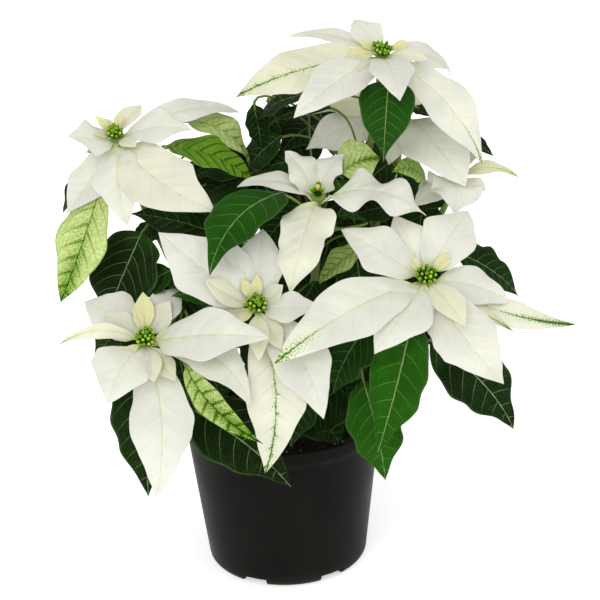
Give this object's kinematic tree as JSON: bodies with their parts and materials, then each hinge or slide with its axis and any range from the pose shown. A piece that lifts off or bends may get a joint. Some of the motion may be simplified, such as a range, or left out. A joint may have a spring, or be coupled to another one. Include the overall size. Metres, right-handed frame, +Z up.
{
  "type": "potted poinsettia",
  "caption": "White-bracted poinsettia in a tapered dark plastic nursery pot, with layered bracts, green buds and waved leaves, for standing on a flat surface.",
  "frame": {"origin": "middle of the flat pad under the pot, which lies level with the pot's feet", "axes": "+Z up along the pot's axis, -Y towards the viewer"},
  "size_m": [0.3157, 0.2947, 0.3505],
  "materials": {
    "pot": "satin dark grey",
    "soil": "rough, crumbly",
    "trunk": "matt bark",
    "leafy": "satin green",
    "bracts": "soft satin cream white",
    "buds": "glossy green"
  },
  "bodies": {
    "root": {"pot": "pot", "soil": "soil", "trunk": "trunk", "leafy_a": "leafy", "bracts_a": "bracts", "buds_a": "buds", "leafy_b": "leafy", "bracts_b": "bracts", "buds_b": "buds", "leafy_c": "leafy", "bracts_c": "bracts", "buds_c": "buds", "leafy_d": "leafy", "bracts_d": "bracts", "buds_d": "buds", "leafy_e": "leafy", "bracts_e": "bracts", "buds_e": "buds", "leafy_f": "leafy", "bracts_f": "bracts", "buds_f": "buds", "leafy_g": "leafy", "bracts_g": "bracts", "buds_g": "buds", "leafy_h": "leafy", "bracts_h": "bracts", "buds_h": "buds", "leafy_i": "leafy", "bracts_i": "bracts", "buds_i": "buds"}
  },
  "joints": []
}
